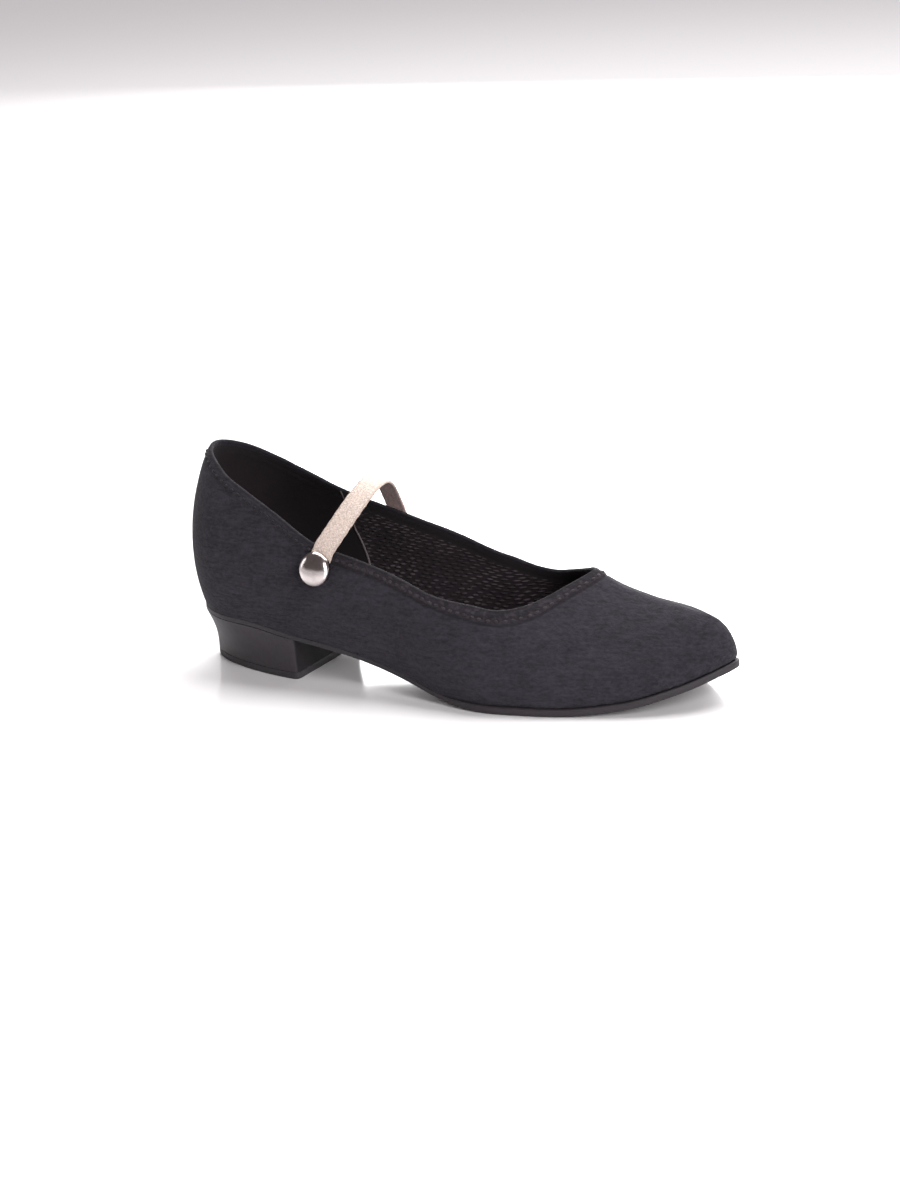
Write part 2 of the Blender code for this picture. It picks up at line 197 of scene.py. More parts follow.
def half_width(share, side):
    body = read_row(OUTLINE, share, 1 if side == OUTER else 2) * BALL_WIDTH
    return body * round_end(share / HEEL_CAP) * round_end((1 - share) / TOE_CAP)


def fore_blend(share):
    return ease((share - WAIST_END) / (BALL_START - WAIST_END))


def underside(share):
    return read_row(SEAT, share) * SEAT_RISE


def seat_height(share):
    return underside(share) + WAIST_SOLE + (FORE_SOLE - WAIST_SOLE) * fore_blend(share)


def feather(share, side):
    return np.stack([share * LENGTH - SHIFT, side * half_width(share, side), seat_height(share)], -1)


def outward(share, side):
    ahead, behind = np.clip(share + 1e-4, 0, 1), np.clip(share - 1e-4, 0, 1)
    along = feather(ahead, side) - feather(behind, side)
    normal = unit(np.stack([-along[:, 1], along[:, 0]], -1) * side)
    normal[share <= 0] = (-1, 0)
    normal[share >= 1] = (1, 0)
    return normal


def crown_height(share):
    return seat_height(share) + read_row(CROWN, share) * INSTEP


def crown_share(share):
    toe = np.clip((share - TOE_FAN) / (1 - TOE_FAN), 0, 1)
    heel = np.clip((HEEL_FAN - share) / HEEL_FAN, 0, 1)
    return share - TOE_LEAN * toe**2 + HEEL_LEAN * heel**2


def section_points(share, side, way):
    """Outer face of the upper: way is 0 at the feather line and 1 at the crown."""
    foot = feather(share, side)
    top_at = crown_share(share)
    top = np.stack([top_at * LENGTH - SHIFT, 0 * top_at, crown_height(top_at)], -1)
    step = 1e-3
    slope = (crown_height(top_at + step) - crown_height(top_at - step)) / (2 * step * LENGTH)
    span = foot[:, :2] - top[:, :2]
    reach = np.linalg.norm(span, axis=1)
    span = span / reach[:, None]
    across = np.stack([span[:, 0], span[:, 1], span[:, 0] * slope], -1)
    flare = np.radians(read_row(SECTION, share, 1))
    normal = outward(share, side)
    rising = np.stack([normal[:, 0] * np.sin(flare), normal[:, 1] * np.sin(flare), np.cos(flare)], -1)
    low_pull = read_row(SECTION, share, 2) * (top[:, 2] - foot[:, 2])
    crown_pull = read_row(SECTION, share, 3) * reach
    low = (foot + rising * low_pull[:, None])[:, None]
    high = (top + across * crown_pull[:, None])[:, None]
    u = way[..., None]
    points = (1 - u) ** 3 * foot[:, None] + 3 * (1 - u) ** 2 * u * low
    points = points + 3 * (1 - u) * u**2 * high + u**3 * top[:, None]
    points[..., 2] += GAP
    return points


def topline_way(share, side):
    low = read_row(TOPLINE, share, 1 if side == OUTER else 2)
    run = np.clip((share - THROAT + THROAT_REACH) / THROAT_REACH, 0, 1)
    oval = np.clip(1 - run**THROAT_POWER, 0, 1) ** (1 / THROAT_POWER)
    return np.where(share < THROAT, 1 - (1 - low) * oval, 1.0)


def spread_shares(start, end, count):
    fine = start + (end - start) * (1 - np.cos(np.linspace(0, math.pi, 1200))) / 2
    run = 0
    for side in (OUTER, INNER):
        edge = section_points(fine, side, topline_way(fine, side)[:, None])[:, 0]
        for line in (edge, feather(fine, side)):
            run = run + np.linalg.norm(np.diff(line, axis=0), axis=1)
    travelled = np.concatenate([[0], np.cumsum(run)])
    return np.interp(np.linspace(0, travelled[-1], count + 1), travelled, fine)


def face_normals(share, side, way, points):
    """Outward direction of the upper's outer face at a grid of its points."""
    ahead = section_points(np.minimum(share + 1e-4, 1), side, way)
    behind = section_points(np.maximum(share - 1e-4, 0), side, way)
    rise = section_points(share, side, way + 1e-3) - section_points(share, side, way - 1e-3)
    normal = np.cross(ahead - behind, rise) * -side
    normal[..., 1][np.abs(points[..., 1]) < 1e-9] = 0
    return unit(normal)


def run_of(path):
    """Length walked along a path at each of its points."""
    return np.concatenate([[0], np.cumsum(np.linalg.norm(np.diff(path, axis=0), axis=1))])


def walked_rows(points):
    """Length walked along each row of a grid of points."""
    steps = np.linalg.norm(np.diff(points, axis=1), axis=2)
    return np.concatenate([np.zeros((len(points), 1)), np.cumsum(steps, axis=1)], 1)


def place_at(at, run, path):
    """Place on a path at a length walked along it."""
    return np.array([np.interp(at, run, path[:, k]) for k in range(3)])


def reach_to(path, points):
    """Distance from each point to a path, and how far along the path its nearest place is."""
    run = run_of(path)
    flat = points.reshape(-1, 3)
    far = np.full(len(flat), 9.0)
    along = np.zeros(len(flat))
    for start in range(0, len(flat), CHUNK):
        part = flat[start:start + CHUNK]
        square = (part**2).sum(1)[:, None] + (path**2).sum(1) - 2 * part @ path.T
        k = square.argmin(1)
        for a in (np.maximum(k - 1, 0), np.minimum(k, len(path) - 2)):
            leg = path[a + 1] - path[a]
            t = np.clip(((part - path[a]) * leg).sum(1) / np.maximum((leg**2).sum(1), 1e-14), 0, 1)
            gap = np.linalg.norm(part - path[a] - leg * t[:, None], axis=1)
            closer = gap < far[start:start + CHUNK]
            far[start:start + CHUNK][closer] = gap[closer]
            along[start:start + CHUNK][closer] = (run[a] + t * (run[a + 1] - run[a]))[closer]
    return far.reshape(points.shape[:-1]), along.reshape(points.shape[:-1])


# Finishes

class Wire:
    """A value on its way through a finish. Sums on it add their own nodes."""

    def __init__(self, finish, socket):
        self.finish = finish
        self.socket = socket

    def sum(self, operation, *values):
        return self.finish.add("ShaderNodeMath", {"operation": operation}, dict(enumerate(values)))

    def __add__(self, other):
        return self.sum("ADD", self, other)

    def __radd__(self, other):
        return self.sum("ADD", other, self)

    def __sub__(self, other):
        return self.sum("SUBTRACT", self, other)

    def __rsub__(self, other):
        return self.sum("SUBTRACT", other, self)

    def __mul__(self, other):
        return self.sum("MULTIPLY", self, other)

    def __rmul__(self, other):
        return self.sum("MULTIPLY", other, self)

    def __truediv__(self, other):
        return self.sum("DIVIDE", self, other)

    def __pow__(self, other):
        return self.sum("POWER", self, other)

    def wave(self):
        return self.sum("SINE", self)

    def size(self):
        return self.sum("ABSOLUTE", self)

    def within(self, low, high):
        """0 below low, 1 above high and a soft step between."""
        step = {"interpolation_type": "SMOOTHSTEP"}
        return self.finish.add("ShaderNodeMapRange", step, {0: self, 1: low, 2: high})


class Finish:
    """One material, built from what the real surface shows."""

    def __init__(self, name, **constants):
        self.material = bpy.data.materials.new(name)
        self.material.use_nodes = True
        self.tree = self.material.node_tree
        self.shader = self.tree.nodes["Principled BSDF"]
        for socket, value in constants.items():
            self.shader.inputs[socket.replace("_", " ")].default_value = value

    def add(self, kind, settings, sockets, out=0):
        node = self.tree.nodes.new(kind)
        for name, value in settings.items():
            setattr(node, name, value)
        for name, value in sockets.items():
            self.feed(node.inputs[name], value)
        return Wire(self, node.outputs[out])

    def feed(self, socket, value):
        if isinstance(value, Wire):
            self.tree.links.new(value.socket, socket)
        elif isinstance(value, tuple) and socket.type == "RGBA":
            socket.default_value = (*value, 1.0)
        else:
            socket.default_value = value

    def place(self):
        return self.add("ShaderNodeTexCoord", {}, {}, "Object")

    def parts(self, vector):
        return [self.add("ShaderNodeSeparateXYZ", {}, {0: vector}, k) for k in range(3)]

    def cloth(self):
        """Way along the cloth, way across it and distance from its edge, all in metres."""
        return self.add("ShaderNodeAttribute", {"attribute_name": "cloth"}, {}, "Vector")

    def stretch(self, vector, scale):
        return self.add("ShaderNodeVectorMath", {"operation": "MULTIPLY"}, {0: vector, 1: scale})

    def noise(self, vector, scale, detail=2.0, roughness=0.5):
        sockets = {"Vector": vector, "Scale": scale, "Detail": detail, "Roughness": roughness}
        return self.add("ShaderNodeTexNoise", {}, sockets)

    def mix(self, factor, low, high):
        return self.add("ShaderNodeMix", {"data_type": "RGBA"}, {0: factor, 6: low, 7: high}, 2)

    def shade(self, colour, by):
        """A colour made lighter or darker by a value about 1."""
        return self.add("ShaderNodeVectorMath", {"operation": "SCALE"}, {0: colour, "Scale": by})

    def relief(self, height, distance):
        sockets = {"Height": height, "Distance": distance, "Strength": 1.0}
        self.wear(Normal=self.add("ShaderNodeBump", {}, sockets))

    def wear(self, **values):
        for name, value in values.items():
            self.feed(self.shader.inputs[name.replace("_", " ")], value)


def plain_weave(along, across):
    """Height of a plain weave, thread over thread."""
    turn = math.tau / WEAVE
    return (along * turn).wave() * (across * turn).wave() * 0.5 + 0.5


def canvas_finish():
    canvas = Finish("black_canvas", Specular_IOR_Level=0.14, Sheen_Weight=0.05, Sheen_Roughness=0.45)
    cloth = canvas.cloth()
    along, across, edge = canvas.parts(cloth)
    row = canvas.add("ShaderNodeAttribute", {"attribute_name": "row"}, {}, "Fac")
    place = canvas.place()
    drift = canvas.noise(cloth, 260.0, 1.0) * 0.0009
    weave = plain_weave(along + drift, across - drift)
    slub = canvas.noise(canvas.stretch(place, (0.16, 0.5, 1.0)), 800.0, 2.0, 0.6).within(0.30, 0.70)
    fleck = canvas.noise(canvas.stretch(place, (0.50, 0.8, 1.0)), 900.0, 2.0, 0.7).within(0.28, 0.72)
    cloud = canvas.noise(place, 42.0, 4.0, 0.6)
    patch = canvas.noise(canvas.stretch(place, (0.6, 1.0, 1.3)), 170.0, 4.0, 0.7).within(0.30, 0.70)
    dust = canvas.noise(place, 26.0, 5.0, 0.7).within(0.54, 0.72)
    ahead = canvas.parts(place)[0]
    fore = ahead.within(0.030, 0.060)
    # The toe, where painted shade darkens the canvas and the sole's rim.
    toe_shade = ahead.within(0.160, 0.205)
    band = (1 - edge.within(0.0046, 0.0062)) * (0.2 + fore * 0.8)
    braid = canvas.noise(canvas.stretch(place, (0.8, 0.8, 1.0)), 560.0, 1.0).within(0.52, 0.66) * band
    # Painted shade: the rounded lip along the top 2 mm of the topline is painted darker, to take down the
    # light it catches.
    lip_shade = 1 - edge.within(0.0004, 0.0020)
    seam = (1 - (edge - row).size().within(0.0003, 0.0014)) * fore
    # Painted shade: a dark line is painted in the groove just under the folded band.
    fold = (1 - (edge - row - BAND_BEYOND).size().within(0.0002, 0.0009)) * (0.25 + fore * 0.75)
    # Painted light in the tone: the forepart is painted lighter than the rear and the toe is painted
    # darker, for how the light falls on them; the cloud, patch, slub and fleck terms are the canvas's own
    # mottling.
    tone = 0.34 + cloud * 0.30 + patch * 0.34 + slub * 0.26 + fleck * 0.44 + fore * 0.10 - toe_shade * 0.16
    colour = canvas.mix(band * 0.7, (0.0208, 0.0185, 0.0245), (0.0128, 0.0106, 0.0134))
    colour = canvas.mix(dust * 0.25, colour, (0.031, 0.028, 0.037))
    colour = canvas.mix(braid * 0.55, colour, (0.035, 0.029, 0.034))
    colour = canvas.mix(lip_shade * 0.60, colour, (0.0080, 0.0066, 0.0088))
    colour = canvas.mix(seam * 0.40, colour, (0.024, 0.0195, 0.0235))
    colour = canvas.mix(fold * 0.55, colour, (0.0080, 0.0064, 0.0085))
    canvas.wear(Base_Color=canvas.shade(colour, tone))
    canvas.wear(Roughness=0.84 + patch * 0.10)
    canvas.relief(weave * 0.3 + slub * 0.35 + fleck * 0.45, 0.00028)
    return canvas


def lining_finish():
    lining = Finish("black_lining", Specular_IOR_Level=0.22, Sheen_Weight=0.04, Sheen_Roughness=0.5)
    cloth = lining.cloth()
    along, across, edge = lining.parts(cloth)
    place = lining.place()
    x, _, z = lining.parts(place)
    skew = {0: (along + across * 0.95) * (1 / 0.0036), 1: (across + along * 0.16) * (1 / 0.0019)}
    skew = lining.add("ShaderNodeCombineXYZ", {}, skew)
    cells = {"Vector": skew, "Scale": 1.0, "Randomness": 0.38}
    knots = lining.add("ShaderNodeTexVoronoi", {"voronoi_dimensions": "2D"}, cells)
    knots = 1 - knots.within(0.14, 0.42)
    rise = z - FRONT_FOOT
    low = rise.sum("MINIMUM", rise, FRONT_BEND)
    high = rise.sum("MAXIMUM", rise - FRONT_BEND, 0.0)
    front = x - (FRONT_AT - SHIFT) + low * FRONT_LEAN + low * low * FRONT_CURVE + high * FRONT_TOP_LEAN
    front = front.within(-0.0003, 0.0003)
    facing = 1 - edge.within(0.0056, 0.0066)
    open_weave = front * (1 - facing)
    patchy_tone = lining.noise(place, 62.0, 3.0, 0.6).within(0.40, 0.60)
    weave = plain_weave(along, across)
    cloud = lining.noise(place, 60.0, 3.0, 0.6)
    colour = lining.mix(front, (0.0110, 0.0075, 0.0095), (0.0225, 0.0158, 0.0198))
    colour = lining.mix(facing * 0.8, colour, (0.0125, 0.0095, 0.0112))
    # The open weave's cells, painted much lighter in patches: the weave's own pattern, with a painted
    # highlight on each raised cell.
    colour = lining.mix(open_weave * knots * (patchy_tone * 0.85 + 0.15), colour, (0.120, 0.095, 0.107))
    lining.wear(Base_Color=lining.shade(colour, 0.65 + cloud * 0.7), Roughness=0.78 + cloud * 0.15)
    lining.relief(open_weave * knots * 2.0 + weave * 0.35, 0.00028)
    return lining


def binding_finish():
    """The raised front edge of the rear lining."""
    binding = Finish("lining_edge", Specular_IOR_Level=0.35)
    grain = binding.noise(binding.place(), 1400.0, 2.0)
    binding.wear(Base_Color=binding.shade((0.120, 0.098, 0.104), 0.6 + grain * 0.8))
    binding.wear(Roughness=0.6 + grain * 0.2)
    binding.relief(grain, 0.0001)
    return binding


def thread_finish(name, colour, patchy_tone):
    """Twisted thread, darker toward the heel and here and there."""
    thread = Finish(name, Specular_IOR_Level=0.15, Sheen_Weight=0.03)
    place = thread.place()
    x, y, z = thread.parts(place)
    patch = thread.noise(place, 210.0, 2.0, 0.6).within(0.36, 0.62)
    colour = thread.mix(x.within(0.020, 0.062) * (0.45 + patch * 0.55), patchy_tone, colour)
    twist = ((x + y * 0.6 + z * 0.8) * 9000).wave()
    grain = thread.noise(place, 2600.0, 1.0)
    thread.wear(Base_Color=thread.shade(colour, 0.72 + grain * 0.4 + twist * 0.08))
    thread.wear(Roughness=0.5 + grain * 0.2)
    thread.relief(twist, 0.00006)
    return thread


def sole_finish():
    sole = Finish("brown_black_sole", Specular_IOR_Level=0.28)
    place = sole.place()
    x, y, _ = sole.parts(place)
    geometry = sole.add("ShaderNodeNewGeometry", {}, {}, "Normal")
    under = (0 - sole.parts(geometry)[2]).within(0.55, 0.85)
    grain = sole.noise(place, 900.0, 4.0, 0.65)
    layer = sole.noise(sole.stretch(place, (0.12, 0.12, 1.0)), 1900.0, 2.0)
    scuff = sole.noise(sole.stretch(place, (0.5, 1.6, 1.0)), 60.0, 5.0, 0.7).within(0.50, 0.68)
    ball = 1 - ((x - 0.136).size() * 24 + y.size() * 9).within(0.55, 1.25)
    fore = x.within(0.07, 0.13)
    rim = sole.mix(fore, (0.0240, 0.0222, 0.0262), (0.0285, 0.0240, 0.0285))
    # Painted shade: the rim is painted darker toward the toe, where it catches the floor's light.
    toe_shade = x.within(0.150, 0.205)
    rim = sole.shade(rim, (0.7 + layer * 0.6) * (1 - toe_shade * 0.35))
    tread = sole.mix(scuff * 0.5 + ball * 0.35, (0.040, 0.033, 0.030), (0.105, 0.090, 0.080))
    sole.wear(Base_Color=sole.shade(sole.mix(under, rim, tread), 0.75 + grain * 0.5))
    sole.wear(Roughness=0.52 + under * 0.32 + grain * 0.08)
    sole.relief(grain * (0.4 + under) + layer * 0.4, 0.00016)
    return sole


def heel_finish():
    heel = Finish("satin_black_heel", Specular_IOR_Level=0.22, Coat_Roughness=0.45)
    place = heel.place()
    grain = heel.noise(place, 520.0, 4.0, 0.6)
    cloud = heel.noise(place, 70.0, 3.0)
    scratch = heel.noise(heel.stretch(place, (1.0, 1.0, 7.0)), 190.0, 4.0, 0.7).within(0.60, 0.76)
    low = 1 - heel.parts(place)[2].within(0.003, 0.012)
    warm = heel.mix(cloud * 0.6 + low * 0.3, (0.0325, 0.0288, 0.0350), (0.0395, 0.0330, 0.0378))
    geometry = heel.add("ShaderNodeNewGeometry", {}, {}, "Normal")
    # Painted shade: the breast face, turned forward under the waist, is painted near black for the shadow
    # it lies in.
    breast_shade = heel.parts(geometry)[0].within(0.45, 0.90)
    colour = heel.mix(scratch * 0.5, heel.shade(warm, 0.8 + grain * 0.4), (0.055, 0.050, 0.050))
    heel.wear(Base_Color=heel.mix(breast_shade * 0.9, colour, (0.0075, 0.0062, 0.0075)))
    heel.wear(Roughness=0.56 + cloud * 0.10 + scratch * 0.12 + breast_shade * 0.25)
    heel.wear(Coat_Weight=0.08 - scratch * 0.05)
    heel.relief(grain * 0.7 + scratch * -0.5, 0.00012)
    return heel


def rubber_finish():
    rubber = Finish("black_rubber", Specular_IOR_Level=0.4)
    place = rubber.place()
    grain = rubber.noise(place, 1100.0, 3.0, 0.6)
    cloud = rubber.noise(place, 90.0, 4.0, 0.6).within(0.45, 0.7)
    rubber.wear(Base_Color=rubber.mix(cloud * 0.4, (0.0235, 0.0215, 0.0250), (0.034, 0.030, 0.032)))
    rubber.wear(Roughness=0.60 + grain * 0.15)
    rubber.relief(grain, 0.00015)
    return rubber


def elastic_finish():
    elastic = Finish("cream_elastic", Specular_IOR_Level=0.2, Sheen_Weight=0.10, Sheen_Roughness=0.4)
    cloth = elastic.cloth()
    along, across, edge = elastic.parts(cloth)
    drift = elastic.noise(cloth, 500.0, 1.0) * 0.0003
    rib = ((across + drift * 0.4) * (math.tau / 0.00068)).wave() * 0.5 + 0.5
    pick = ((along + across * 0.35 + drift) * (math.tau / 0.00080)).wave() * 0.5 + 0.5
    speck = elastic.noise(cloth, 1350.0, 2.0, 0.6).within(0.30, 0.70)
    cloud = elastic.noise(cloth, 120.0, 3.0, 0.6)
    selvedge = (across.size() - STRAP_WIDTH * 0.5).within(-0.0011, -0.0002)
    # Painted shade: the strap's underside is painted a darker mauve-brown.
    under = 1 - edge.within(-0.0004, 0.0002)
    # Painted shade: the hollows between the ribs and the picks are painted darker.
    hollow_shade = (1 - rib) * 0.5 + (1 - pick) * 0.3
    colour = elastic.mix(hollow_shade * 0.40, (0.63, 0.525, 0.468), (0.47, 0.365, 0.315))
    colour = elastic.mix(selvedge * 0.40, colour, (0.34, 0.255, 0.21))
    colour = elastic.mix(under, colour, (0.34, 0.25, 0.24))
    elastic.wear(Base_Color=elastic.shade(colour, 0.66 + cloud * 0.20 + speck * 0.42))
    elastic.wear(Roughness=0.74 + cloud * 0.12)
    elastic.relief(rib * 0.5 + pick * 0.4 + speck * 0.8, 0.00020)
    return elastic


def nickel_finish():
    nickel = Finish("polished_nickel", Metallic=1.0)
    place = nickel.place()
    grain = nickel.noise(place, 700.0, 4.0, 0.65)
    stain = nickel.noise(place, 260.0, 3.0, 0.6).within(0.42, 0.75)
    nickel.wear(Base_Color=nickel.mix(stain * 0.5, (0.50, 0.455, 0.445), (0.36, 0.315, 0.305)))
    nickel.wear(Roughness=0.11 + grain * 0.08 + stain * 0.06)
    nickel.relief(grain, 0.00004)
    return nickel


# Making pieces

def lay_sheet(bm, points, cloth=None):
    """A grid moved onto rows and columns of points."""
    rows, columns = points.shape[:2]
    made = bmesh.ops.create_grid(bm, x_segments=columns - 1, y_segments=rows - 1, size=1.0)["verts"]
    for vert, place in zip(made, points.reshape(-1, 3)):
        vert.co = place
    if cloth is not None:
        layer = bm.verts.layers.float_vector["cloth"]
        for vert, mark in zip(made, cloth.reshape(-1, 3)):
            vert[layer] = mark
    return made


def finish_piece(name, bm, finishes, nodes=(), crease=None):
    bmesh.ops.remove_doubles(bm, verts=bm.verts, dist=2e-6)
    bmesh.ops.recalc_face_normals(bm, faces=bm.faces)
    for face in bm.faces:
        face.smooth = True
    mesh = bpy.data.meshes.new(name)
    bm.to_mesh(mesh)
    bm.free()
    if crease:
        mesh.set_sharp_from_angle(angle=math.radians(crease))
    for finish in finishes:
        mesh.materials.append(finish.material)
    piece = bpy.data.objects.new(name, mesh)
    bpy.context.scene.collection.objects.link(piece)
    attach(piece, "root")
    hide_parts(*nodes)
    return piece


def row_shares(count):
    """Rows up a section: close together by the topline and by the feather line."""
    at = np.linspace(0, 1, 2000)
    spacing = 0.0012 + 0.030 * ease((1 - at) / 0.30) ** 0.8 + 0.006 * ease((1 - at) / 0.03)
    spacing = np.minimum(spacing, 0.005 + 0.35 * at)
    run = np.cumsum(1 / spacing)
    run = (run - run[0]) / (run[-1] - run[0])
    return np.interp(np.linspace(0, 1, count), run, at)


def upper_shares():
    """Columns along the upper, close together where the throat closes."""
    collar = spread_shares(0.0, THROAT - 1e-7, 180)
    past = np.array([0.0002, 0.0005, 0.001, 0.0017, 0.0026, 0.0038, 0.0052, 0.0068, 0.0086, 0.0106])
    past = np.concatenate([past, 0.0106 + 0.0022 * np.arange(1, 9)])
    vamp = spread_shares(THROAT + past[-1], 1.0, 72)
    return np.concatenate([collar[:-1], [THROAT], THROAT + past, vamp[1:]]), len(collar) - 1


def topline_path():
    share = spread_shares(0.0, THROAT, 800)
    outer, inner = (section_points(share, side, topline_way(share, side)[:, None])[:, 0]
                    for side in (OUTER, INNER))
    return np.concatenate([outer, inner[::-1][1:]])


def canvas_relief(share, away, along, points, height):
    """How far the canvas stands off the last: folded band, sewn channel, and soft hollows."""
    row = read_row(STITCH_ROW, share)[:, None]
    fold = row + BAND_BEYOND
    lift = BAND_LIFT * (1 - ease((away - fold + 0.0004) / 0.0007))
    pucker = 1 + PUCKER * np.cos(along * math.tau / STITCH_PITCH)
    lift -= CHANNEL * pucker * np.exp(-((away - row) / CHANNEL_HALF) ** 2)
    lift -= FOLD * np.exp(-((away - fold - 0.0004) / 0.00055) ** 2)
    lift *= (0.20 + 0.80 * ease((share - 0.24) / 0.12))[:, None]
    lift -= (SOLE_TUCK + FORE_TUCK * fore_blend(share)[:, None]) * np.exp(-height / 0.0007)
    x, y, z = points[..., 0], points[..., 1], points[..., 2]
    lift += 0.00012 * np.sin(x * 260 + 3 * np.sin(y * 90)) * np.sin(y * 170 + z * 120 + 1.0)
    crease = np.array(CREASE)
    far, walked = reach_to(crease, points)
    walked = walked / run_of(crease)[-1]
    lift -= CREASE_DEEP * ease(walked / 0.2) * ease((1 - walked) / 0.35) * np.exp(-(far / CREASE_HALF) ** 2)
    lasted = ease((share - 0.86) / 0.06)[:, None] * np.exp(-height / 0.0045)
    lift += 0.00009 * lasted * np.sin(np.arctan2(y, x - 0.165) * 46)
    return lift


def build_upper(canvas, lining):
    """Canvas shell with its wall, rounded topline and band; gives back the stitch row."""
    share, throat = upper_shares()
    edge_path = topline_path()
    rows = row_shares(64)
    sides = {}
    for side in (OUTER, INNER):
        fine = np.linspace(0, 1, 300)[None] * topline_way(share, side)[:, None]
        run = walked_rows(section_points(share, side, fine))
        way = np.stack([np.interp(rows * r[-1], r, f) for r, f in zip(run, fine)])
        way[:, -1] = topline_way(share, side)
        height = rows[None] * run[:, -1:]
        points = section_points(share, side, way)
        normal = face_normals(share, side, way, points)
        away, along = reach_to(edge_path, points)
        away[:throat + 1, -1] = 0
        full = np.linspace(0, 1, 300)[None] * np.ones((len(share), 1))
        whole = walked_rows(section_points(share, side, full))
        to_crown = np.stack([r[-1] - np.interp(w, f, r) for r, f, w in zip(whole, full, way)])
        length = walked_rows(points.transpose(1, 0, 2)).T
        sides[side] = (points, normal, away, along, height, to_crown, length)
    middle = (sides[OUTER][-1][:, -1:] + sides[INNER][-1][:, -1:]) / 2
    bm = bmesh.new()
    bm.verts.layers.float_vector.new("cloth")
    row_mark = bm.verts.layers.float.new("row")
    stitch_line = {}
    half = WALL / 2
    for side in (OUTER, INNER):
        points, normal, away, along, height, to_crown, length = sides[side]
        length = length + (middle - length[:, -1:]) * rows[None] ** 2
        cloth = np.stack([length, side * to_crown, away], -1)
        tuck = half - np.sqrt(np.clip(half**2 - np.clip(half - away, 0, half) ** 2, 0, None))
        lift = canvas_relief(share, away, along, points, height)
        fade = ease(away / 0.0009)
        lift = lift * (0.35 + 0.65 * fade)
        lift[:throat + 1, -1] = 0
        face = points + normal * (lift - tuck)[..., None]
        face[:, 0, 2] -= 0.0002  # down to the sole's lip
        wall = points - normal * (WALL - tuck)[..., None]
        ridge = sum(high * np.exp(-((away - at) / 0.0004) ** 2)
                    for high, at in ((0.00022, 0.0062), (0.00014, 0.0030)))
        wall = wall - normal * (ridge * ease(away / 0.0009))[..., None]
        back = np.arange(len(rows) - 1, -1, -1)
        keep = back[(np.arange(len(back)) % 2 == 0) | (np.arange(len(back)) < 26)]
        if keep[-1] != 0:
            keep = np.append(keep, 0)
        sheet = np.concatenate([face, wall[:, keep], face[:, :1]], 1)
        marks = np.concatenate([cloth, cloth[:, keep], cloth[:, :1]], 1)
        before = len(bm.faces)
        made = lay_sheet(bm, sheet.transpose(1, 0, 2), marks.transpose(1, 0, 2))
        row = read_row(STITCH_ROW, share)
        for k, vert in enumerate(made):
            vert[row_mark] = row[k % len(share)]
        bm.faces.ensure_lookup_table()
        columns = len(share) - 1
        made = bm.faces[before:]
        for k, panel in enumerate(made):
            panel.material_index = 0 if k // columns < len(rows) + 14 else 1
        last = len(rows) - 1
        bmesh.ops.delete(bm, geom=made[last * columns:(last + 1) * columns], context="FACES")
        line, facing = [], []
        for i in range(len(share)):
            j = np.nonzero(away[i] > row[i])[0]
            if len(j) == 0 or j[-1] == len(rows) - 1:
                continue
            a, b = away[i, j[-1]], away[i, j[-1] + 1]
            t = (a - row[i]) / (a - b)
            line.append(face[i, j[-1]] * (1 - t) + face[i, j[-1] + 1] * t)
            facing.append(normal[i, j[-1]])
        stitch_line[side] = (np.array(line), np.array(facing))
    finish_piece("upper_canvas", bm, (canvas, lining), ["upper"])
    line = np.concatenate([stitch_line[OUTER][0], stitch_line[INNER][0][::-1]])
    facing = np.concatenate([stitch_line[OUTER][1], stitch_line[INNER][1][::-1]])
    return line, facing


def sew(bm, line, facing, pitch, long, thick, sunk, seed):
    """Stitches laid one by one along a line."""
    draw = random.Random(seed)
    run = run_of(line)
    count = int(run[-1] / pitch)
    for k in range(count):
        at = run[-1] * (k + 0.5) / count + draw.uniform(-0.06, 0.06) * pitch
        behind, middle, ahead = (place_at(at + d, run, line) for d in (-long / 2, 0, long / 2))
        along = unit(ahead - behind)
        out = unit(place_at(at, run, facing))
        out = unit(out - along * out.dot(along))
        wide = np.cross(out, along)
        turn = Matrix((along, wide, out)).transposed().to_4x4()
        size = Matrix.Diagonal((long * draw.uniform(0.46, 0.54), thick, thick * 0.8, 1.0))
        place = Matrix.Translation(Vector(middle + out * (thick * 0.5 - sunk)))
        matrix = place @ turn @ size
        bmesh.ops.create_uvsphere(bm, u_segments=8, v_segments=6, radius=1.0, matrix=matrix)


def build_topline_stitching(line, facing, thread):
    bm = bmesh.new()
    sew(bm, line, facing, STITCH_PITCH, STITCH_LONG, STITCH_THICK, STITCH_SUNK, 4)
    finish_piece("topline_stitching", bm, (thread,))


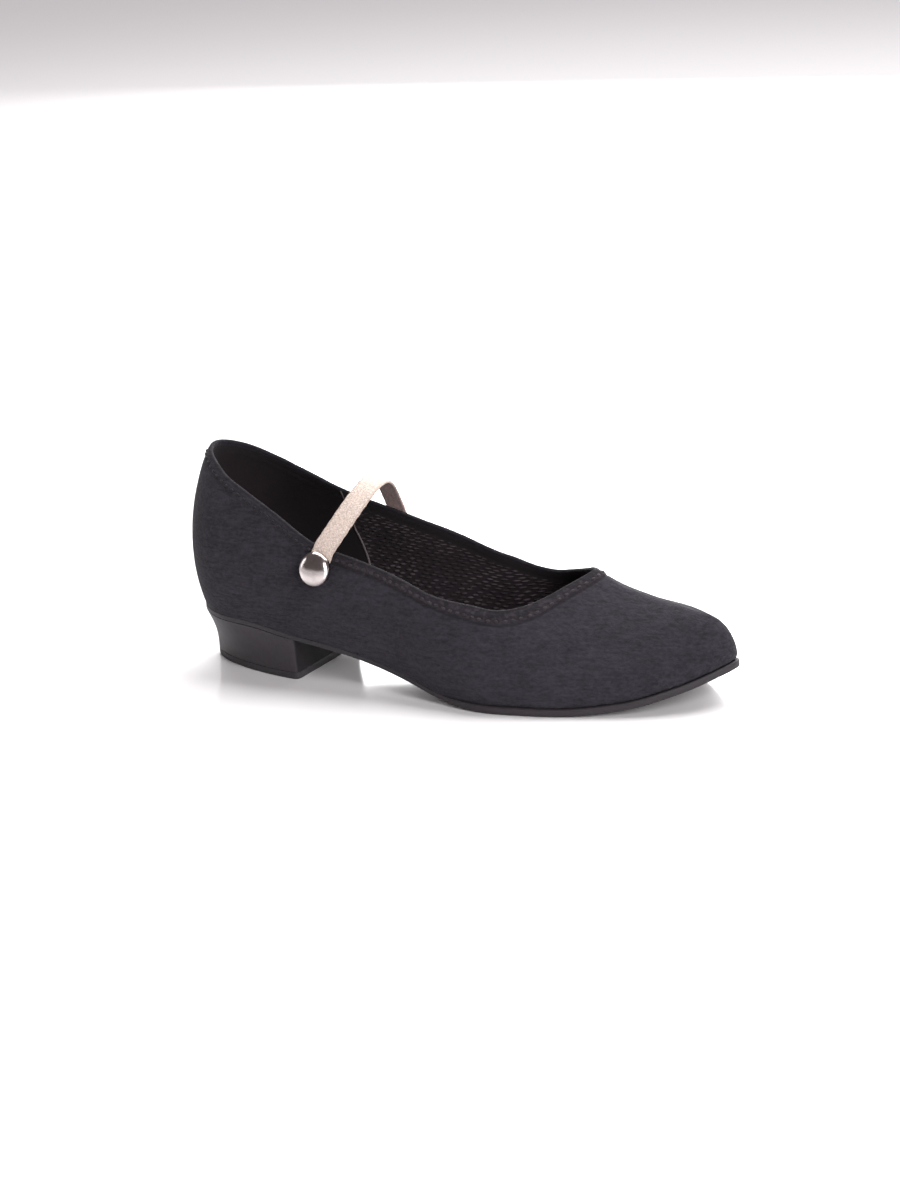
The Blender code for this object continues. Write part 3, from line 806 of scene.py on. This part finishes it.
def build_lining_edge(binding):
    """Narrow raised edge down the inner wall, where the rear lining ends."""
    bm = bmesh.new()
    for side in (OUTER, INNER):
        path, outs = [], []
        for climb in np.linspace(0.03, 0.985, 40):
            low, high = 0.10, 0.42
            for _ in range(30):
                at = np.array([(low + high) / 2])
                way = np.array([[climb * topline_way(at, side)[0]]])
                place = section_points(at, side, way)
                normal = face_normals(at, side, way, place)[0, 0]
                place = place[0, 0] - normal * WALL
                rise = place[2] - FRONT_FOOT
                lean, more = min(rise, FRONT_BEND), max(rise - FRONT_BEND, 0.0)
                goal = FRONT_AT - SHIFT - FRONT_LEAN * lean - FRONT_CURVE * lean * lean
                goal -= FRONT_TOP_LEAN * more
                low, high = (at[0], high) if place[0] < goal else (low, at[0])
            path.append(place)
            outs.append(-normal)
        path, outs = np.array(path), np.array(outs)
        along = unit(np.gradient(path, axis=0))
        wide = unit(np.cross(outs, along))
        turn = np.linspace(0, math.pi, 7)
        taper = 0.00062 * (0.65 + 0.45 * np.linspace(1, 0, len(path)))
        sheet = path[:, None] + wide[:, None] * (np.cos(turn)[None] * taper[:, None])[..., None]
        sheet = sheet + outs[:, None] * (np.sin(turn) * 0.00034 - 0.00006)[None, :, None]
        sheet = np.concatenate([sheet, sheet[:, :1]], 1)
        lay_sheet(bm, sheet)
    bmesh.ops.remove_doubles(bm, verts=bm.verts, dist=2e-6)
    bmesh.ops.holes_fill(bm, edges=[e for e in bm.edges if e.is_boundary], sides=0)
    finish_piece("lining_front_edge", bm, (binding,))


def slab_sheet(share, base, thick, grow, soft):
    """Closed plate on the last's outline, its edge rounded by soft."""
    turn = np.linspace(0, math.pi / 2, 5)
    soft = np.reshape(soft, (-1, 1))
    inset = np.concatenate([(1 - np.sin(turn)), (1 - np.sin(turn[::-1]))]) * soft
    stations = {}
    for side in (OUTER, INNER):
        edge = feather(share, side)[:, None].repeat(inset.shape[1], 1)
        out = outward(share, side)
        edge[..., :2] += out[:, None] * (np.reshape(grow, (-1, 1)) - inset)[..., None]
        bend = (1 - np.cos(turn)) * soft
        edge[..., 2] = base[:, None]
        edge[:, :len(turn), 2] += bend
        edge[:, len(turn):, 2] = (base + thick)[:, None] - bend[:, ::-1]
        edge[(share <= 0) | (share >= 1), :, 1] = 0
        stations[side] = edge
    t = np.linspace(0, 1, 10)[1:-1][None, :, None]
    bottom = stations[OUTER][:, :1] * (1 - t) + stations[INNER][:, :1] * t
    top = stations[INNER][:, -1:] * (1 - t) + stations[OUTER][:, -1:] * t
    return np.concatenate([bottom, stations[INNER], top, stations[OUTER][:, ::-1], bottom[:, :1]], 1)


def sole_shares(count):
    return (1 - np.cos(np.linspace(0, math.pi, count))) / 2


def build_outsole(sole):
    share = sole_shares(120)
    thick = seat_height(share) - underside(share)
    blend = fore_blend(share)
    sheet = slab_sheet(share, underside(share), thick, SOLE_LIP * blend, 0.0002 + 0.0005 * blend)
    bm = bmesh.new()
    lay_sheet(bm, sheet)
    finish_piece("outsole_dressed", bm, (sole,), ["outsole"])


def build_insole(lining):
    share = sole_shares(100)
    inset = -(WALL / math.cos(math.radians(SECTION[3][1])) + 2 * GAP)
    sheet = slab_sheet(share, seat_height(share) + GAP, np.full_like(share, INSOLE), inset, 0.0006)
    bm = bmesh.new()
    bm.verts.layers.float_vector.new("cloth")
    marks = np.stack([sheet[..., 0], sheet[..., 1], 0 * sheet[..., 0] + 0.05], -1)
    lay_sheet(bm, sheet, marks)
    finish_piece("insole_dressed", bm, (lining,), ["insole"])


def even_loop(loop, count, rounding):
    """A closed loop respaced evenly, with its corners rounded."""
    shut = np.concatenate([loop, loop[:1]])
    run = run_of(shut)
    at = np.linspace(0, run[-1], count + 1)[:-1]
    even = np.stack([np.interp(at, run, shut[:, k]) for k in range(3)], -1)
    for _ in range(rounding):
        even = even * 0.5 + (np.roll(even, 1, 0) + np.roll(even, -1, 0)) * 0.25
    return even


def shrink(loop, by):
    """The loop moved inward in plan."""
    along = unit(np.roll(loop, -1, 0)[:, :2] - np.roll(loop, 1, 0)[:, :2])
    inward = np.stack([-along[:, 1], along[:, 0]], -1)
    smaller = loop.copy()
    middle = loop[:, :2].mean(0)
    if ((middle - loop[:, :2]) * inward).sum() < 0:
        inward = -inward
    smaller[:, :2] += inward * by
    return smaller


def heel_loops():
    """Outlines of the heel at the floor and against the sole, point for point."""
    run = 1 - np.cos(np.linspace(0, math.pi / 2, 60))
    x = HEEL_BACK + (HEEL_BREAST - HEEL_BACK) * run
    ahead = 1 - np.clip((x - HEEL_BACK) / HEEL_OVAL, 0, 1)
    y = HEEL_HALF * (1 - ahead**HEEL_POWER) ** (1 / HEEL_POWER)
    foot_outer = np.stack([x - SHIFT, -y, 0 * x], -1)
    x = (HEEL_BREAST + BREAST_LEAN) * run
    share = x / LENGTH
    seat = {}
    for side in (OUTER, INNER):
        seat[side] = np.stack([x - SHIFT, side * half_width(share, side), underside(share) - GAP], -1)
    foot = np.concatenate([foot_outer, (foot_outer * (1, -1, 1))[::-1][:-1]])
    top = np.concatenate([seat[OUTER], seat[INNER][::-1][:-1]])
    return [even_loop(loop, 220, 14) for loop in (foot, top)]


def build_heel(heel, rubber):
    foot, seat = heel_loops()
    rings = []
    edge = np.linspace(0, math.pi / 2, 5)
    low = TOP_PIECE + 0.0001
    for t in edge:
        ring = shrink(foot, HEEL_ROUND * (1 - math.sin(t)))
        ring[:, 2] = low + HEEL_ROUND * (1 - math.cos(t))
        rings.append(ring)
    for t in np.linspace(0, 1, 16)[1:]:
        ring = foot + (seat - foot) * t
        ring[:, 2] = (low + HEEL_ROUND) + (seat[:, 2] - low - HEEL_ROUND) * t
        ring = shrink(ring, HEEL_WAIST * math.sin(math.pi * t))
        rings.append(ring)
    last = shrink(seat, 0.0001)
    last[:, 2] = seat[:, 2] + 0.0001
    rings.append(last)
    build_tower("heel_dressed", rings, heel, "heel_block")
    rings = []
    for grow, z in ((0.0007, 0.0), (0.00025, 0.00012), (0.0001, 0.0005), (0.0, 0.0015), (0.0, 0.0028),
                    (0.0002, TOP_PIECE)):
        ring = shrink(foot, grow)
        ring[:, 2] = z
        rings.append(ring)
    build_tower("top_piece_dressed", rings, rubber, "heel_top_piece")


def build_tower(name, rings, finish, node):
    bm = bmesh.new()
    sheet = np.stack([np.concatenate([ring, ring[:1]]) for ring in rings])
    lay_sheet(bm, sheet)
    bmesh.ops.remove_doubles(bm, verts=bm.verts, dist=2e-6)
    open_edges = [edge for edge in bm.edges if edge.is_boundary]
    made = bmesh.ops.holes_fill(bm, edges=open_edges, sides=0)["faces"]
    bmesh.ops.inset_region(bm, faces=made, thickness=0.004, depth=0.0, use_even_offset=True)
    finish_piece(name, bm, (finish,), [node], crease=35)


def wall_point(share, side, drop):
    at = np.array([share])
    top = topline_way(at, side)[0]
    way = np.linspace(0, top, 400)
    line = section_points(at, side, way[None])[0]
    below = run_of(line[::-1])[::-1]
    place = place_at(-drop, -below, line)
    under = place_at(-drop - 0.001, -below, line)
    at_way = np.interp(-drop, -below, way)
    ahead = section_points(at + 1e-3, side, np.array([[at_way]]))[0, 0]
    up = unit(place - under)
    out = np.cross(unit(ahead - place), up) * -side
    return place, up, unit(out)


def strap_route():
    """Middle line of the strap with its ways across and outward, from the snap over to the sewn end."""
    lift = EDGE_RISE + GAP + STRAP_THICK / 2
    points, outs = [], []
    for drop in np.linspace(SNAP_DROP + SNAP_COVER, 0, 12):
        share = STRAP_OUTER + (SNAP_AT - STRAP_OUTER) * drop / SNAP_DROP
        place, up, out = wall_point(share, OUTER, drop)
        points.append(place + out * lift)
        outs.append(out)
    start, start_up = points[-1], up
    inner_points, inner_outs = [], []
    for drop in np.linspace(0, STRAP_SEWN, 10):
        place, up_in, out = wall_point(STRAP_INNER, INNER, drop)
        if drop == 0:
            end_up = up_in
        inner_points.append(place + out * lift)
        inner_outs.append(out)
    end = inner_points[0]
    first = start + start_up * STRAP_ARCH_OUT + np.array([STRAP_FORWARD, 0, 0])
    second = end + end_up * STRAP_ARCH_IN + np.array([STRAP_FORWARD_IN, 0, 0])
    for t in np.linspace(0, 1, 80)[1:-1]:
        near = (1 - t)**3 * start + 3 * (1 - t)**2 * t * first
        points.append(near + 3 * (1 - t) * t**2 * second + t**3 * end)
        outs.append(None)
    points = np.array(points + inner_points)
    outs += inner_outs
    along = unit(np.gradient(points, axis=0))
    wide = [None if out is None else np.cross(out, way) for out, way in zip(outs, along)]
    known = [k for k, value in enumerate(wide) if value is not None]
    first = max(k for k in known if k < len(wide) / 2)
    last = min(k for k in known if k > len(wide) / 2)
    for k in range(first + 1, last):
        t = ease((k - first) / (last - first))
        wide[k] = wide[first] * (1 - t) + wide[last] * t
    wide = np.array(wide)
    wide = unit(wide - along * (wide * along).sum(1)[:, None])
    return points, wide, np.cross(along, wide), len(inner_points)


def build_strap(elastic, thread):
    points, wide, out, sewn = strap_route()
    half, thick, soft = STRAP_WIDTH / 2, STRAP_THICK / 2, 0.00042
    corner = []
    for cx, cz, start in ((1, 1, 0), (-1, 1, 90), (-1, -1, 180), (1, -1, 270)):
        for angle in np.radians(np.linspace(start, start + 90, 4)):
            corner.append((cx * (half - soft) + soft * math.cos(angle),
                           cz * (thick - soft) + soft * math.sin(angle)))
    loop = []
    for a, b in zip(corner, corner[1:] + corner[:1]):
        steps = 8 if math.hypot(b[0] - a[0], b[1] - a[1]) > 0.002 else 1
        loop += [(a[0] + (b[0] - a[0]) * t, a[1] + (b[1] - a[1]) * t) for t in np.arange(steps) / steps]
    loop = np.array(loop + loop[:1])
    run = run_of(points)
    cup = 0.00022 * np.sin(np.clip(run / run[-1], 0, 1) * math.pi)
    wave = 0.00008 * np.sin(run * 1400)
    bow = (loop[:, 0] / half) ** 2
    sheet = points[:, None] + wide[:, None] * (loop[None, :, 0] * (1 + wave[:, None] / half))[..., None]
    sheet = sheet + out[:, None] * (loop[None, :, 1] - cup[:, None] * bow[None])[..., None]
    marks = np.stack(np.broadcast_arrays(run[:, None], loop[None, :, 0], loop[None, :, 1]), -1)
    bm = bmesh.new()
    bm.verts.layers.float_vector.new("cloth")
    lay_sheet(bm, sheet, np.ascontiguousarray(marks))
    bmesh.ops.remove_doubles(bm, verts=bm.verts, dist=2e-6)
    bmesh.ops.holes_fill(bm, edges=[edge for edge in bm.edges if edge.is_boundary], sides=0)
    finish_piece("strap_elastic", bm, (elastic,), ["strap"], crease=50)
    bm = bmesh.new()
    face = out * thick
    tail = slice(len(points) - sewn + 2, len(points) - 1)
    inset = half - 0.0012
    for edge in (-inset, inset):
        sew(bm, (points + face + wide * edge)[tail], out[tail], *STRAP_STITCH, 9)
    for k in (tail.start, tail.stop - 1):
        spread = np.linspace(-inset, inset, 8)[:, None]
        line = points[k] + face[k] + wide[k] * spread
        sew(bm, line, np.tile(out[k], (8, 1)), *STRAP_STITCH, 5)
    finish_piece("strap_stitching", bm, (thread,))


def build_snap(nickel):
    place, up, out = wall_point(SNAP_AT, OUTER, SNAP_DROP)
    base = place + out * (EDGE_RISE + STRAP_THICK + 2 * GAP)
    rim = 0.18 * SNAP_HEIGHT
    bead = 0.00030
    edge = SNAP_RADIUS - bead
    profile = [(0.0, SNAP_HEIGHT)]
    for angle in np.radians(np.linspace(4, 90, 20)):
        profile.append((SNAP_RADIUS * math.sin(angle), rim + (SNAP_HEIGHT - rim) * math.cos(angle)))
    for angle in np.radians(np.linspace(0, -90, 6)):
        profile.append((edge + bead * math.cos(angle), 0.0001 + bead + bead * math.sin(angle)))
    profile += [(0.85 * edge, 0.0001), (0.0, 0.0001)]
    bm = bmesh.new()
    verts = [bm.verts.new((radius, 0, height)) for radius, height in profile]
    edges = [bm.edges.new(pair) for pair in zip(verts, verts[1:])]
    bmesh.ops.spin(bm, geom=verts + edges, cent=(0, 0, 0), axis=(0, 0, 1), angle=math.tau, steps=72,
                   use_merge=True)
    bmesh.ops.remove_doubles(bm, verts=bm.verts, dist=1e-6)
    turn = Matrix((np.cross(up, out), up, out)).transposed().to_4x4()
    bmesh.ops.transform(bm, matrix=Matrix.Translation(Vector(base)) @ turn, verts=bm.verts)
    finish_piece("snap_cap_dressed", bm, (nickel,), ["snap_cap"], crease=50)


# Studio

def build_floor():
    floor_finish = Finish("studio_floor", Specular_IOR_Level=0.5)
    haze = floor_finish.noise(floor_finish.place(), 3.0, 2.0)
    floor_finish.wear(Base_Color=floor_finish.mix(haze, (0.90, 0.885, 0.90), (0.93, 0.915, 0.925)))
    floor_finish.wear(Roughness=0.13)
    bm = bmesh.new()
    bmesh.ops.create_grid(bm, x_segments=8, y_segments=8, size=4.0)
    mesh = bpy.data.meshes.new("studio_floor")
    bm.to_mesh(mesh)
    bm.free()
    mesh.materials.append(floor_finish.material)
    floor = bpy.data.objects.new("studio_floor", mesh)
    bpy.context.scene.collection.objects.link(floor)


def add_light(name, place, aim, size, power):
    lamp = bpy.data.lights.new(name, "AREA")
    lamp.shape = "RECTANGLE"
    lamp.size, lamp.size_y = size
    lamp.energy = power
    light = bpy.data.objects.new(name, lamp)
    light.location = place
    light.rotation_euler = (Vector(aim) - Vector(place)).to_track_quat("-Z", "Y").to_euler()
    bpy.context.scene.collection.objects.link(light)


def build_studio():
    build_floor()
    world = bpy.data.worlds.new("studio")
    bpy.context.scene.world = world
    world.use_nodes = True
    nodes, links = world.node_tree.nodes, world.node_tree.links
    way = nodes.new("ShaderNodeTexCoord")
    split = nodes.new("ShaderNodeSeparateXYZ")
    rise = nodes.new("ShaderNodeMapRange")
    rise.inputs["From Min"].default_value = 0.0
    rise.inputs["From Max"].default_value = 0.18
    sky = nodes.new("ShaderNodeMix")
    sky.data_type = "RGBA"
    sky.inputs[6].default_value = (1.30, 1.26, 1.29, 1.0)
    sky.inputs[7].default_value = (0.15, 0.130, 0.132, 1.0)
    links.new(way.outputs["Generated"], split.inputs[0])
    links.new(split.outputs[2], rise.inputs["Value"])
    links.new(rise.outputs[0], sky.inputs[0])
    links.new(sky.outputs[2], nodes["Background"].inputs["Color"])
    add_light("overhead_softbox", (0.15, 0.95, 1.75), (0.1, 0, 0), (2.6, 1.7), 100)
    add_light("left_softbox", (-1.6, -0.4, 0.6), (0.06, 0, 0.04), (0.5, 0.8), 3)
    add_light("right_softbox", (1.6, -1.0, 0.8), (0.1, 0, 0.04), (0.7, 1.2), 40)
    add_light("back_softbox", (-0.1, 1.6, 0.45), (0.05, 0, 0), (1.8, 0.6), 30)
    bpy.context.scene.view_settings.view_transform = "Standard"
    add_camera()


def add_camera():
    azimuth, elevation, roll = (math.radians(angle) for angle in CAMERA_TURN)
    back = Vector((math.sin(azimuth) * math.cos(elevation), -math.cos(azimuth) * math.cos(elevation),
                   math.sin(elevation)))
    right = Vector((math.cos(azimuth), math.sin(azimuth), 0))
    up = back.cross(right)
    across = right * math.cos(roll) + up * math.sin(roll)
    rise = up * math.cos(roll) - right * math.sin(roll)
    lens = bpy.data.cameras.new("photo_camera")
    lens.lens = CAMERA_LENS
    lens.sensor_width = 36.0
    lens.shift_x, lens.shift_y = CAMERA_SHIFT
    camera = bpy.data.objects.new("photo_camera", lens)
    camera.matrix_world = (Matrix.Translation(Vector(CAMERA_AIM) + back * CAMERA_FAR)
                           @ Matrix((across, rise, back)).transposed().to_4x4())
    bpy.context.scene.collection.objects.link(camera)
    bpy.context.scene.camera = camera


def dress_shoe():
    build_studio()
    canvas, lining = canvas_finish(), lining_finish()
    line, facing = build_upper(canvas, lining)
    grey = thread_finish("grey_thread", (0.036, 0.030, 0.035), (0.0120, 0.0102, 0.0130))
    build_topline_stitching(line, facing, grey)
    build_lining_edge(binding_finish())
    build_outsole(sole_finish())
    build_insole(lining)
    build_heel(heel_finish(), rubber_finish())
    cream = thread_finish("cream_thread", (0.70, 0.62, 0.55), (0.60, 0.51, 0.45))
    build_strap(elastic_finish(), cream)
    build_snap(nickel_finish())


dress_shoe()
